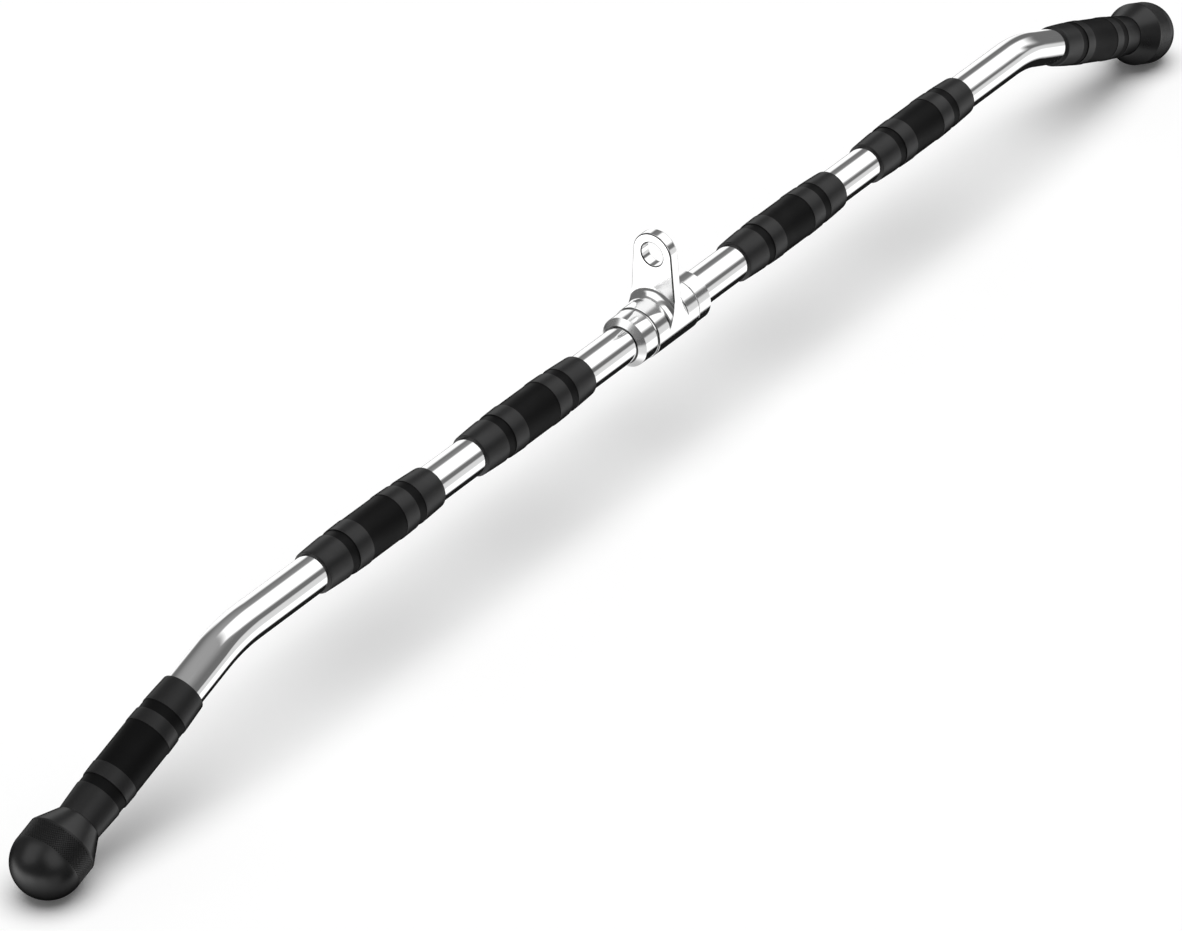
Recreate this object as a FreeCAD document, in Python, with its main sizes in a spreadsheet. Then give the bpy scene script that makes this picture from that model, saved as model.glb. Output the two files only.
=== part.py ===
"""Lat pulldown bar: a bent chromed tube that turns in a hanger with an eye.

The bar hangs from the eye of a sleeve that runs on two flanged bushes round its middle.
Two collars keep the sleeve in place, six rubber grips cover the holds, and a screwed-on
knob closes each end. Millimetres, +X along the bar to the right, +Z up through the eye.
The origin is the centre of the eye.
"""
import FreeCAD, Part
import math
import os

import Sketcher
from FreeCAD import Rotation, Vector

SIZES = {
    # Bar: one round tube, straight in the middle, with both ends bent down alike.
    "bar_diameter": 25.4,
    "bar_wall": 3.0,
    "straight_half": 425.8,
    "bend_radius": 100.0,
    "bend_angle": 19.6,
    "leg_length": 162.0,
    # Hanger: a sleeve round the bar and a flat plate with the eye, with a hollow gusset on each face.
    "eye_height": 50.0,
    "eye_radius": 8.5,
    "eye_edge_chamfer": 0.5,
    "plate_top_radius": 15.0,
    "plate_thickness": 8.0,
    "plate_edge_round": 1.0,
    "sleeve_radius": 18.4,
    "sleeve_wall": 3.8,
    "sleeve_length": 44.6,
    "sleeve_edge_chamfer": 0.2,
    "gusset_radius": 7.2,
    # Bushes: pressed into the sleeve, with a sloped flange that runs against the collar.
    "bush_length": 15.0,
    "bush_lead_in": 0.5,
    "flange_thickness": 1.3,
    "flange_inset": 0.2,
    "running_clearance": 0.08,
    "side_play": 0.2,
    # Collars: turned rings with one sloped face, each held by a grub screw from below.
    "collar_radius": 17.6,
    "collar_length": 16.4,
    "collar_slope_length": 4.0,
    "collar_lip": 0.7,
    "collar_edge_chamfer": 0.2,
    "slip_clearance": 0.05,
    "screw_station": 6.2,
    "screw_diameter": 6.0,
    "screw_length": 4.4,
    "screw_point_length": 1.0,
    "screw_point_radius": 1.7,
    "socket_width": 3.0,
    "socket_depth": 2.2,
    "thread_clearance": 0.1,
    # Grips: barrel-shaped rubber sleeves with two narrow rings and a wide band sunk in them.
    "inner_grip_centre": 145.0,
    "outer_grip_centre": 304.9,
    "grip_length": 115.4,
    "grip_end_radius": 14.4,
    "grip_middle_radius": 16.2,
    "grip_end_band": 20.8,
    "grip_ring_width": 7.0,
    "grip_ring_depth": 0.5,
    "grip_centre_width": 33.4,
    "grip_centre_depth": 0.5,
    "grip_edge_round": 0.6,
    "end_grip_length": 106.8,
    "end_grip_end_band": 20.0,
    # Knobs: a cone, a knurled band and a round end, moulded over the head of a stud.
    "knob_mouth_radius": 14.8,
    "knob_radius": 22.7,
    "knob_cone_length": 15.5,
    "knob_shoulder_round": 2.0,
    "knob_band_length": 15.5,
    "knob_dome_length": 21.5,
    "knob_bore_depth": 25.0,
    "knob_bore_clearance": 0.2,
    "stud_diameter": 10.0,
    "stud_length": 18.0,
    "stud_end_chamfer": 1.0,
    "stud_cover": 2.0,
    "stud_head_radius": 8.0,
    "stud_head_thickness": 6.0,
    # End plugs: threaded inserts pressed into the tube, with a lip on the tube's end.
    "plug_length": 22.0,
    "plug_lead_in": 1.0,
    "plug_lip_thickness": 2.0,
    "plug_lip_inset": 0.5,
    # One overrun serves every cut that has to pass a surface.
    "cut_overrun": 2.0,
}

BAR_RADIUS = "(Size.bar_diameter / 2)"
TUBE_BORE = "(Size.bar_diameter / 2 - Size.bar_wall)"
BEND = "(Size.bend_angle * 1 deg)"
LEG_X = f"(Size.straight_half + Size.bend_radius * sin{BEND})"
LEG_DROP = f"(Size.bend_radius * (1 - cos{BEND}))"
BUSH_OUTSIDE = "(Size.sleeve_radius - Size.sleeve_wall)"
SLEEVE_HALF = "(Size.sleeve_length / 2)"
COLLAR_START = f"({SLEEVE_HALF} + Size.flange_thickness + Size.side_play)"
COLLAR_BORE = f"({BAR_RADIUS} + Size.slip_clearance)"
SCREW_RADIUS = "(Size.screw_diameter / 2)"
STUD_RADIUS = "(Size.stud_diameter / 2)"
KNOB_START = "(Size.leg_length - Size.knob_bore_depth)"
KNOB_SEAT = "(Size.leg_length + Size.plug_lip_thickness + Size.knob_bore_clearance)"
HALF_TURN = 180
SOCKET_SIDES = 6
MATCH_SHARE = 0.01

doc = FreeCAD.newDocument("lat_pulldown_bar")
sheet = doc.addObject("Spreadsheet::Sheet", "Size")
for row, (alias, value) in enumerate(SIZES.items(), start=1):
    sheet.set(f"A{row}", alias.replace("_", " "))
    sheet.set(f"B{row}", str(value))
    sheet.setAlias(f"B{row}", alias)
doc.recompute()


def measure(text):
    """The plain number that an expression of the sheet gives now."""
    return float(sheet.evalExpression(text))


TINY = measure("Size.running_clearance") * MATCH_SHARE


def new_body(label):
    """An empty body on the bar's axis, below the eye."""
    body = doc.addObject("PartDesign::Body", label)
    body.Label = label
    body.setExpression(".Placement.Base.z", "-Size.eye_height")
    return body


def place_on_bar(body, side, station):
    """Move a body along the straight middle; on the left it is turned about the vertical."""
    body.setExpression(".Placement.Base.x", f"{side} * {station}")
    if side < 0:
        body.Placement.Rotation = Rotation(Vector(0, 0, 1), HALF_TURN)


def place_on_leg(body, side, station):
    """Put a body's own X axis along a bent end, at a distance past the end of the bend."""
    drop = f"({LEG_DROP} + {station} * sin{BEND})"
    body.setExpression(".Placement.Base.x", f"{side} * ({LEG_X} + {station} * cos{BEND})")
    body.setExpression(".Placement.Base.z", f"-Size.eye_height - {drop}")
    body.Placement.Rotation = Rotation(Vector(0, 1, 0), HALF_TURN)
    turn = BEND if side > 0 else f"{HALF_TURN} deg - {BEND}"
    body.setExpression(".Placement.Rotation.Angle", turn)


def origin_plane(body, role):
    """One of the body's own three planes."""
    return next(item for item in body.Origin.OriginFeatures if item.Role == role)


def new_sketch(body, name, plane):
    """A sketch on one of the body's own origin planes."""
    sketch = body.newObject("Sketcher::SketchObject", f"{body.Name}_{name}")
    sketch.AttachmentSupport = [(origin_plane(body, plane), "")]
    sketch.MapMode = "FlatFace"
    return sketch


def bind(sketch, constraint, text):
    """Add a constraint whose value follows an expression."""
    sketch.setExpression(f"Constraints[{sketch.addConstraint(constraint)}]", text)


def draw(sketch, corners, closed=True):
    """Draw an outline through corners given as expressions (across, up[, arc radius]).

    An arc runs from its corner to the next one: anticlockwise with a plain radius, and
    clockwise where the radius is given with a leading minus.
    """
    points = [Vector(measure(corner[0]), measure(corner[1]), 0) for corner in corners]
    edges = []
    count = len(corners) if closed else len(corners) - 1
    for index in range(count):
        start = points[index]
        end = points[(index + 1) % len(points)]
        first, last = 1, 2
        if len(corners[index]) > 2:
            text = corners[index][2]
            radius = measure(text)
            half = (end - start) / 2
            across = Vector(-half.y, half.x, 0).normalize()
            rise = math.sqrt(max(radius**2 - half.Length**2, 0)) * math.copysign(1, radius)
            through = start + half + across * (rise - radius)
            edge = sketch.addGeometry(Part.Arc(start, through, end))
            if radius < 0:
                first, last = 2, 1
                text = text[1:]
            bind(sketch, Sketcher.Constraint("Radius", edge, abs(radius)), text)
        else:
            edge = sketch.addGeometry(Part.LineSegment(start, end))
        edges.append((edge, first, last))
    for index, (edge, first, last) in enumerate(edges):
        if closed or index + 1 < len(edges):
            following = edges[(index + 1) % len(edges)]
            link = Sketcher.Constraint("Coincident", edge, last, following[0], following[1])
            sketch.addConstraint(link)
    ends = [(edge, first) for edge, first, last in edges]
    if not closed:
        ends.append((edges[-1][0], edges[-1][2]))
    for (edge, end), corner, point in zip(ends, corners, points):
        bind(sketch, Sketcher.Constraint("DistanceX", -1, 1, edge, end, point.x), corner[0])
        bind(sketch, Sketcher.Constraint("DistanceY", -1, 1, edge, end, point.y), corner[1])


def draw_circle(sketch, radius, across="0", up="0"):
    """Draw a circle whose radius and centre follow expressions."""
    centre = Vector(measure(across), measure(up), 0)
    edge = sketch.addGeometry(Part.Circle(centre, Vector(0, 0, 1), measure(radius)))
    bind(sketch, Sketcher.Constraint("Radius", edge, measure(radius)), radius)
    bind(sketch, Sketcher.Constraint("DistanceX", -1, 1, edge, 3, centre.x), across)
    bind(sketch, Sketcher.Constraint("DistanceY", -1, 1, edge, 3, centre.y), up)


def feature(body, kind, name, sketch):
    """Add a feature that works on a sketch, and give it back for its own settings."""
    added = body.newObject(f"PartDesign::{kind}", f"{body.Name}_{name}")
    added.Profile = sketch
    return added


def turned(body, name, corners, kind="Revolution", axis="H_Axis"):
    """Turn an outline of the XZ plane about the body's X axis, or about Z with V_Axis."""
    sketch = new_sketch(body, f"{name}_outline", "XZ_Plane")
    draw(sketch, corners)
    added = feature(body, kind, name, sketch)
    added.ReferenceAxis = (sketch, [axis])
    doc.recompute()
    return added


def dress(body, kind, name, size, wanted):
    """Round or chamfer the edges of the body's shape for which wanted(edge) holds."""
    base = body.Tip
    edges = [f"Edge{i}" for i, edge in enumerate(base.Shape.Edges, start=1) if wanted(edge)]
    if not edges:
        raise RuntimeError(f"{body.Label}: no edge for {name}")
    added = body.newObject(f"PartDesign::{kind}", f"{body.Name}_{name}")
    added.Base = (base, edges)
    added.setExpression("Radius" if kind == "Fillet" else "Size", size)
    doc.recompute()
    return added


def rim(radius, station):
    """A test for the round edge of a given radius at a given station along X."""
    wanted_radius = measure(radius)
    wanted_station = measure(station)

    def matches(edge):
        if edge.Degenerated or not isinstance(edge.Curve, Part.Circle):
            return False
        near = math.isclose(edge.Curve.Center.x, wanted_station, rel_tol=0, abs_tol=TINY)
        return near and math.isclose(edge.Curve.Radius, wanted_radius, rel_tol=0, abs_tol=TINY)

    return matches


def make_bar():
    """The tube: half of it is swept outwards from the middle, then mirrored."""
    body = new_body("bar_tube")
    path = new_sketch(body, "path", "XZ_Plane")
    straight_end = ("Size.straight_half", "0", "-Size.bend_radius")
    bend_end = (LEG_X, f"-{LEG_DROP}")
    end_x = f"{LEG_X} + Size.leg_length * cos{BEND}"
    end_z = f"-{LEG_DROP} - Size.leg_length * sin{BEND}"
    draw(path, [("0", "0"), straight_end, bend_end, (end_x, end_z)], closed=False)
    section = new_sketch(body, "section", "YZ_Plane")
    draw_circle(section, BAR_RADIUS)
    draw_circle(section, TUBE_BORE)
    doc.recompute()
    half = feature(body, "AdditivePipe", "half", section)
    half.Spine = path
    doc.recompute()
    whole = body.newObject("PartDesign::Mirrored", "bar_tube_whole")
    whole.Originals = [half]
    whole.MirrorPlane = (origin_plane(body, "YZ_Plane"), [""])
    body.Tip = whole


def plate_outline():
    """The eye plate in the plane across the bar: a round top and two sides that are
    tangent to it and to the sleeve, closed by the sleeve's own circle."""
    lean = "asin((Size.sleeve_radius - Size.plate_top_radius) / Size.eye_height)"
    top_y = f"Size.plate_top_radius * cos({lean})"
    top_z = f"Size.eye_height + Size.plate_top_radius * sin({lean})"
    side_y = f"Size.sleeve_radius * cos({lean})"
    side_z = f"Size.sleeve_radius * sin({lean})"
    return [
        (side_y, side_z),
        (top_y, top_z, "Size.plate_top_radius"),
        (f"-{top_y}", top_z),
        (f"-{side_y}", side_z, "Size.sleeve_radius"),
    ]


def make_hanger():
    """Sleeve, eye plate and gussets, made as one piece."""
    body = new_body("hanger")
    plate_half = "(Size.plate_thickness / 2)"
    gusset_end = f"({plate_half} + Size.gusset_radius)"
    gusset_top = "(Size.sleeve_radius + Size.gusset_radius)"

    outline = new_sketch(body, "plate_outline", "YZ_Plane")
    draw(outline, plate_outline())
    plate = feature(body, "Pad", "plate", outline)
    plate.SideType = "Symmetric"
    plate.setExpression("Length", "Size.plate_thickness")
    doc.recompute()

    def on_one_face(edge):
        return all(abs(vertex.X - edge.CenterOfMass.x) < TINY for vertex in edge.Vertexes)

    dress(body, "Fillet", "plate_round", "Size.plate_edge_round", on_one_face)

    turned(body, "gussets", [
        (f"-{gusset_end}", BUSH_OUTSIDE),
        (f"-{gusset_end}", "Size.sleeve_radius", "Size.gusset_radius"),
        (f"-{plate_half}", gusset_top),
        (plate_half, gusset_top, "Size.gusset_radius"),
        (gusset_end, "Size.sleeve_radius"),
        (gusset_end, BUSH_OUTSIDE),
    ])
    trim = new_sketch(body, "trim_outline", "YZ_Plane")
    draw(trim, plate_outline())
    draw_circle(trim, "2 * (Size.eye_height + Size.plate_top_radius)")
    trimmed = feature(body, "Pocket", "trim", trim)
    trimmed.SideType = "Symmetric"
    trimmed.setExpression("Length", "Size.sleeve_length")
    doc.recompute()

    turned(body, "sleeve", [
        (f"-{SLEEVE_HALF}", BUSH_OUTSIDE),
        (f"-{SLEEVE_HALF}", "Size.sleeve_radius"),
        (SLEEVE_HALF, "Size.sleeve_radius"),
        (SLEEVE_HALF, BUSH_OUTSIDE),
    ])

    turned(body, "bore", [
        (f"-{SLEEVE_HALF}", "0"),
        (f"-{SLEEVE_HALF}", BUSH_OUTSIDE),
        (SLEEVE_HALF, BUSH_OUTSIDE),
        (SLEEVE_HALF, "0"),
    ], kind="Groove")
    eye = new_sketch(body, "eye_outline", "YZ_Plane")
    draw_circle(eye, "Size.eye_radius", up="Size.eye_height")
    hole = feature(body, "Pocket", "eye", eye)
    hole.SideType = "Symmetric"
    hole.setExpression("Length", "Size.plate_thickness + 2 * Size.cut_overrun")
    doc.recompute()
    eye_rim_right = rim("Size.eye_radius", plate_half)
    eye_rim_left = rim("Size.eye_radius", f"-{plate_half}")
    dress(body, "Chamfer", "eye_chamfer", "Size.eye_edge_chamfer",
          lambda edge: eye_rim_right(edge) or eye_rim_left(edge))
    sleeve_rim_right = rim("Size.sleeve_radius", SLEEVE_HALF)
    sleeve_rim_left = rim("Size.sleeve_radius", f"-{SLEEVE_HALF}")
    dress(body, "Chamfer", "sleeve_chamfer", "Size.sleeve_edge_chamfer",
          lambda edge: sleeve_rim_right(edge) or sleeve_rim_left(edge))


def make_bush(label, side):
    """A bush with a sloped flange; its own X axis starts at the sleeve's end, outwards."""
    body = new_body(label)
    bore = f"({BAR_RADIUS} + Size.running_clearance)"
    flange = "(Size.sleeve_radius - Size.flange_inset)"
    turned(body, "ring", [
        ("-Size.bush_length", bore),
        ("-Size.bush_length", f"{BUSH_OUTSIDE} - Size.bush_lead_in"),
        ("-Size.bush_length + Size.bush_lead_in", BUSH_OUTSIDE),
        ("0", BUSH_OUTSIDE),
        ("0", flange),
        ("Size.flange_thickness", "Size.collar_radius"),
        ("Size.flange_thickness", bore),
    ])
    place_on_bar(body, side, SLEEVE_HALF)


def make_collar(label, side):
    """A turned ring on the bar: square against the bush, sloped away from it."""
    body = new_body(label)
    slope_start = "(Size.collar_length - Size.collar_slope_length)"
    turned(body, "ring", [
        ("0", COLLAR_BORE),
        ("0", "Size.collar_radius - Size.collar_edge_chamfer"),
        ("Size.collar_edge_chamfer", "Size.collar_radius"),
        (slope_start, "Size.collar_radius"),
        ("Size.collar_length", f"{COLLAR_BORE} + Size.collar_lip"),
        ("Size.collar_length", COLLAR_BORE),
    ])
    sketch = new_sketch(body, "screw_hole_outline", "XY_Plane")
    draw_circle(sketch, f"{SCREW_RADIUS} + Size.thread_clearance", across="Size.screw_station")
    hole = feature(body, "Pocket", "screw_hole", sketch)
    hole.setExpression("Length", "Size.collar_radius + Size.cut_overrun")
    doc.recompute()
    place_on_bar(body, side, COLLAR_START)


def make_collar_screw(label, side):
    """A grub screw below the bar: its point meets the tube and its socket faces down."""
    body = new_body(label)
    shoulder = f"(-{COLLAR_BORE} - Size.screw_point_length)"
    tail = f"(-{COLLAR_BORE} - Size.screw_length)"
    turned(body, "shank", [
        ("0", f"-{COLLAR_BORE}"),
        ("0", tail),
        (SCREW_RADIUS, tail),
        (SCREW_RADIUS, shoulder),
        ("Size.screw_point_radius", f"-{COLLAR_BORE}"),
    ], axis="V_Axis")
    hexagon = new_sketch(body, "socket_outline", "XY_Plane")
    hexagon.setExpression(".AttachmentOffset.Base.z", tail)
    side_turn = f"({HALF_TURN} deg / {SOCKET_SIDES})"
    corner = f"(Size.socket_width / 2 / cos{side_turn})"
    corners = []
    for step in range(SOCKET_SIDES):
        turn = f"(2 * {step} * {side_turn})"
        corners.append((f"{corner} * cos{turn}", f"{corner} * sin{turn}"))
    draw(hexagon, corners)
    socket = feature(body, "Pocket", "socket", hexagon)
    socket.Reversed = True
    socket.setExpression("Length", "Size.socket_depth")
    doc.recompute()
    place_on_bar(body, side, f"({COLLAR_START} + Size.screw_station)")


def make_grip(label, length, end_band):
    """A barrel-shaped rubber sleeve, sunk in three bands, with its middle at its origin."""
    body = new_body(label)
    half = f"({length} / 2)"
    swell = "(Size.grip_middle_radius - Size.grip_end_radius)"
    barrel = f"(({half} ^ 2 + {swell} ^ 2) / (2 * {swell}))"
    turned(body, "barrel", [
        (f"-{half}", BAR_RADIUS),
        (f"-{half}", "Size.grip_end_radius", f"-{barrel}"),
        (half, "Size.grip_end_radius"),
        (half, BAR_RADIUS),
    ])
    near_rim = rim("Size.grip_end_radius", f"-{half}")
    far_rim = rim("Size.grip_end_radius", half)
    dress(body, "Fillet", "end_round", "Size.grip_edge_round",
          lambda edge: near_rim(edge) or far_rim(edge))

    outside = "Size.grip_middle_radius + Size.cut_overrun"
    ring_middle = f"({half} - {end_band} - Size.grip_ring_width / 2)"
    surface = f"(Size.grip_middle_radius - {barrel} + sqrt({barrel} ^ 2 - {ring_middle} ^ 2))"
    centre_floor = "(Size.grip_middle_radius - Size.grip_centre_depth)"
    ring_floor = f"({surface} - Size.grip_ring_depth)"
    bands = [
        ("0", "Size.grip_centre_width", centre_floor),
        (f"-{ring_middle}", "Size.grip_ring_width", ring_floor),
        (ring_middle, "Size.grip_ring_width", ring_floor),
    ]
    for number, (middle, width, floor) in enumerate(bands):
        low = f"{middle} - {width} / 2"
        high = f"{middle} + {width} / 2"
        corners = [(low, floor), (low, outside), (high, outside), (high, floor)]
        turned(body, f"band_{number}", corners, kind="Groove")
    return body


def make_knob(label, side):
    """A knob: cone, band and round end outside; bore and stud cavity inside."""
    body = new_body(label)
    bore = f"({BAR_RADIUS} + Size.knob_bore_clearance)"
    seat = f"({KNOB_SEAT} - {KNOB_START})"
    head = f"({seat} + Size.stud_cover)"
    head_end = f"({head} + Size.stud_head_thickness)"
    band_end = "(Size.knob_cone_length + Size.knob_band_length)"
    dome = "Size.knob_dome_length"
    sphere = f"((Size.knob_radius ^ 2 + {dome} ^ 2) / (2 * {dome}))"
    turned(body, "shape", [
        ("0", bore),
        ("0", "Size.knob_mouth_radius"),
        ("Size.knob_cone_length", "Size.knob_radius"),
        (band_end, "Size.knob_radius", f"-{sphere}"),
        (f"{band_end} + {dome}", "0"),
        (head_end, "0"),
        (head_end, "Size.stud_head_radius"),
        (head, "Size.stud_head_radius"),
        (head, STUD_RADIUS),
        (seat, STUD_RADIUS),
        (seat, bore),
    ])
    shoulder = rim("Size.knob_radius", "Size.knob_cone_length")
    dress(body, "Fillet", "shoulder_round", "Size.knob_shoulder_round", shoulder)
    place_on_leg(body, side, KNOB_START)


def make_stud(label, side):
    """The knob's stud: a round head buried in the knob and a shank that enters the plug."""
    body = new_body(label)
    turned(body, "shank", [
        ("-Size.stud_length", "0"),
        ("-Size.stud_length", f"{STUD_RADIUS} - Size.stud_end_chamfer"),
        ("-Size.stud_length + Size.stud_end_chamfer", STUD_RADIUS),
        ("Size.stud_cover", STUD_RADIUS),
        ("Size.stud_cover", "Size.stud_head_radius"),
        ("Size.stud_cover + Size.stud_head_thickness", "Size.stud_head_radius"),
        ("Size.stud_cover + Size.stud_head_thickness", "0"),
    ])
    place_on_leg(body, side, KNOB_SEAT)


def make_plug(label, side):
    """A threaded insert: its body fills the tube's end and its lip lies on the end face."""
    body = new_body(label)
    thread = f"({STUD_RADIUS} + Size.thread_clearance)"
    lip = f"({BAR_RADIUS} - Size.plug_lip_inset)"
    turned(body, "insert", [
        ("-Size.plug_length", thread),
        ("-Size.plug_length", f"{TUBE_BORE} - Size.plug_lead_in"),
        ("-Size.plug_length + Size.plug_lead_in", TUBE_BORE),
        ("0", TUBE_BORE),
        ("0", lip),
        ("Size.plug_lip_thickness", lip),
        ("Size.plug_lip_thickness", thread),
    ])
    place_on_leg(body, side, "Size.leg_length")


make_bar()
make_hanger()
for hand, sign in (("left", -1), ("right", 1)):
    make_bush(f"{hand}_hanger_bush", sign)
    make_collar(f"{hand}_collar", sign)
    make_collar_screw(f"{hand}_collar_screw", sign)
    inner = make_grip(f"{hand}_inner_grip", "Size.grip_length", "Size.grip_end_band")
    place_on_bar(inner, sign, "Size.inner_grip_centre")
    outer = make_grip(f"{hand}_outer_grip", "Size.grip_length", "Size.grip_end_band")
    place_on_bar(outer, sign, "Size.outer_grip_centre")
    end = make_grip(f"{hand}_end_grip", "Size.end_grip_length", "Size.end_grip_end_band")
    place_on_leg(end, sign, f"({KNOB_START} - Size.end_grip_length / 2)")
    make_knob(f"{hand}_end_knob", sign)
    make_stud(f"{hand}_knob_stud", sign)
    make_plug(f"{hand}_end_plug", sign)
doc.recompute()

broken = [item.Name for item in doc.Objects if "Invalid" in item.State or "Error" in item.State]
if broken:
    raise RuntimeError(f"objects that failed: {broken}")
bodies = doc.findObjects("PartDesign::Body")
for body in bodies:
    if body.Shape.isNull() or not body.Shape.isValid():
        raise RuntimeError(f"{body.Label} has no valid shape")
    if len(body.Shape.Solids) != 1:
        raise RuntimeError(f"{body.Label} isn't one solid")
os.makedirs("parts", exist_ok=True)
for body in bodies:
    body.Shape.exportStep(f"parts/{body.Label}.step")
    print(f"{body.Label}: {body.Shape.Volume:.0f} mm3, {len(body.Shape.Faces)} faces")
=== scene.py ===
import math

import bmesh
import bpy
from mathutils import Matrix, Vector


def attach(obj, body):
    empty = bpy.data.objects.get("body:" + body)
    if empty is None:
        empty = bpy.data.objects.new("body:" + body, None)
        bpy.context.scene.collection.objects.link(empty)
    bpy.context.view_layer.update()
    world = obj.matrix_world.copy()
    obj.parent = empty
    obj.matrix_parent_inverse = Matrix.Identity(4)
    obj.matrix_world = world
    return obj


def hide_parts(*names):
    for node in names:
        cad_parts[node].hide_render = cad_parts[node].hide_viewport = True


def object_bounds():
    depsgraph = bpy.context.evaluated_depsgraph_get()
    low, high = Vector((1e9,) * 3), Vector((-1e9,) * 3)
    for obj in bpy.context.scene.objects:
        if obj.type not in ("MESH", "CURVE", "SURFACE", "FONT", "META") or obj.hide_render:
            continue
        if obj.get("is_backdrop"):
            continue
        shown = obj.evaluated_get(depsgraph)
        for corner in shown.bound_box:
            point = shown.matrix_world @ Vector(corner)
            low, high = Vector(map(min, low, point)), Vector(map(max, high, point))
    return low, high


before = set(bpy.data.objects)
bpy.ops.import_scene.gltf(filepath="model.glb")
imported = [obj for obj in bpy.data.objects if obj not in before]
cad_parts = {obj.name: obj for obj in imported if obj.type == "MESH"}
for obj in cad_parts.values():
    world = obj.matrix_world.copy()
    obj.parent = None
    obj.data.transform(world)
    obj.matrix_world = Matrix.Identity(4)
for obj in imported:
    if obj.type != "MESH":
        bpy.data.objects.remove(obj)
cad_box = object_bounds()
scene = bpy.context.scene
scene.view_settings.view_transform = "Standard"

# Camera. It looks down at the bar from the left through a long lens, so that the bar runs
# from the lower left corner of the frame to the upper right one.
CAMERA_SENSOR = 36.0
CAMERA_LENS = 167.34
CAMERA_REACH = 40.0
CAMERA_PLACE = (-2.49857, -1.80514, 1.77522)
CAMERA_TURN = (57.8423, 1.4463, -54.2105)
camera_data = bpy.data.cameras.new("camera")
camera_data.sensor_width = CAMERA_SENSOR
camera_data.lens = CAMERA_LENS
camera_data.clip_end = CAMERA_REACH
camera = bpy.data.objects.new("camera", camera_data)
camera.location = CAMERA_PLACE
camera.rotation_euler = [math.radians(angle) for angle in CAMERA_TURN]
scene.collection.objects.link(camera)
scene.camera = camera


# Studio. Polished metal shows what stands round it: grey walls, soft lamps on the right, on
# the left and in front, a pale floor, a white screen behind the bar, and dark cards low down
# that draw its black lines. Only mirrored rays see these; the camera sees plain white.
class Wire:
    """An output in a node tree. Python's operators on it add the Math nodes."""

    def __init__(self, tree, socket=None):
        self.tree = tree
        self.socket = socket

    def node(self, kind, settings=None, sockets=None, output=0):
        """Add a node: its settings first, then the values or links of its sockets."""
        made = self.tree.nodes.new(kind)
        for name, value in (settings or {}).items():
            setattr(made, name, value)
        for name, value in (sockets or {}).items():
            if isinstance(value, Wire):
                self.tree.links.new(value.socket, made.inputs[name])
            else:
                made.inputs[name].default_value = value
        return Wire(self.tree, made.outputs[output] if made.outputs else None)

    def sibling(self, output):
        """Another output of the same node."""
        return Wire(self.tree, self.socket.node.outputs[output])

    def math(self, operation, first, second=0.0):
        return self.node("ShaderNodeMath", {"operation": operation}, {0: first, 1: second})

    def __add__(self, other):
        return self.math("ADD", self, other)

    def __radd__(self, other):
        return self.math("ADD", other, self)

    def __sub__(self, other):
        return self.math("SUBTRACT", self, other)

    def __rsub__(self, other):
        return self.math("SUBTRACT", other, self)

    def __mul__(self, other):
        return self.math("MULTIPLY", self, other)

    def __rmul__(self, other):
        return self.math("MULTIPLY", other, self)

    def __truediv__(self, other):
        return self.math("DIVIDE", self, other)

    def step(self, low, high, last=None, end=None):
        """A smooth step from 0 at low to 1 at high; it falls where low is above high.
        With four stops it keeps at 1 until the third and is back at 0 at the fourth."""
        if end is not None:
            return self.step(low, high) * self.step(end, last)
        if low > high:
            return 1.0 - self.step(high, low)
        return self.node("ShaderNodeMapRange",
                         {"interpolation_type": "SMOOTHSTEP", "clamp": True},
                         {"Value": self, "From Min": low, "From Max": high})


def new_material(name):
    """An empty material; gives it and the first wire of its tree."""
    material = bpy.data.materials.new(name)
    material.use_nodes = True
    material.node_tree.nodes.clear()
    return material, Wire(material.node_tree)


def show(surface):
    """Send a shader to the material's output."""
    surface.node("ShaderNodeOutputMaterial", None, {"Surface": surface})


world = bpy.data.worlds.new("studio")
world.use_nodes = True
world.cycles.sampling_method = "NONE"
scene.world = world
world.node_tree.nodes.clear()
start = Wire(world.node_tree)
ray = start.node("ShaderNodeSeparateXYZ", None, {
    0: start.node("ShaderNodeTexCoord", output="Generated")})
directions = {"right": ray.sibling(0), "back": ray.sibling(1), "up": ray.sibling(2)}


def mix(level, other, share):
    """A level that passes to another one as share goes from 0 to 1."""
    return level + (other - level) * share


def patch(edges):
    """The share of a patch of the surroundings, from the stops of its soft edges."""
    share, *others = [directions[name].step(*ramp) for name, *ramp in edges]
    for other in others:
        share = share * other
    return share


def moved(edge, moves):
    """An edge or a direction, moved by an amount within each patch."""
    for amount, edges in moves:
        edge = edge + amount * patch(edges)
    return edge


AMBIENT = 0.23
BACKDROP = 1.0
WALL_GREY = 0.172
CEILING_GREY = 0.37
CEILING = [("up", 0.40, 1.05)]
CORNER_DIMMING = 0.32
LEFT_CORNER = [("right", -0.45, -0.65), ("back", -0.15, -0.35)]
walls = mix(WALL_GREY, CEILING_GREY, patch(CEILING))
surroundings = walls * (1.0 - CORNER_DIMMING * patch(LEFT_CORNER))

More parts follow.
